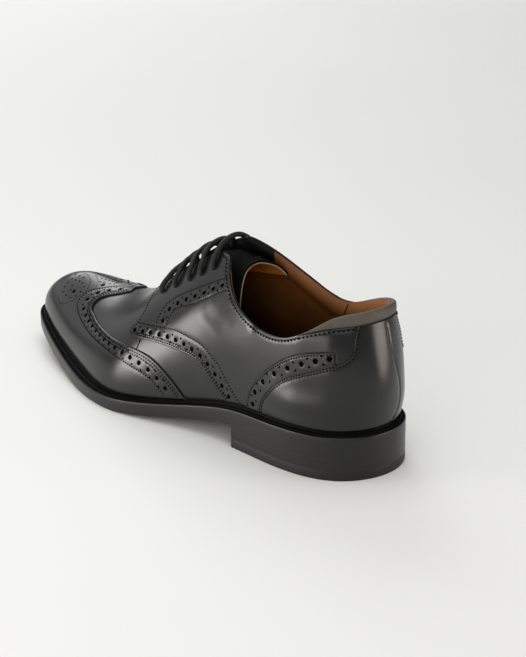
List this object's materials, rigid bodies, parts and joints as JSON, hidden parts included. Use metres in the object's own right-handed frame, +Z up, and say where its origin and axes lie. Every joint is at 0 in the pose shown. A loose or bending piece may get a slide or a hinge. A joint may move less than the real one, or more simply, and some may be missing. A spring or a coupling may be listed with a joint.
{
  "type": "leather derby shoe",
  "caption": "Black full-brogue leather dress shoe for the left foot, hollow inside, with a wing cap, open lacing, a padded collar band, welted sole and stacked heel.",
  "frame": {"origin": "centre of the shoe's footprint, on the floor", "axes": "+X from heel to toe, +Y to the outer side of the foot, +Z up"},
  "size_m": [0.304, 0.1041, 0.1117],
  "materials": {
    "black_leather": "fine-grained black leather, waxed to a soft sheen",
    "sole_edge": "black dressed leather edge",
    "lift_rubber": "matte black",
    "sock_leather": "smooth undyed brown lining leather",
    "padded_band": "soft grey padded leather",
    "lace_cotton": "round black waxed cotton"
  },
  "bodies": {
    "root": {"outsole": "sole_edge", "welt": "sole_edge", "insole": "sock_leather", "heel_block": "sole_edge", "heel_top_piece": "lift_rubber", "upper": "black_leather", "wing_cap": "black_leather", "quarter_lateral": "black_leather", "quarter_medial": "black_leather", "heel_counter": "black_leather", "collar_band": "padded_band", "tongue": "black_leather", "lace_bar_front": "lace_cotton", "lace_cross_1": "lace_cotton", "lace_cross_2": "lace_cotton", "lace_cross_3": "lace_cotton", "lace_cross_4": "lace_cotton"}
  },
  "joints": []
}
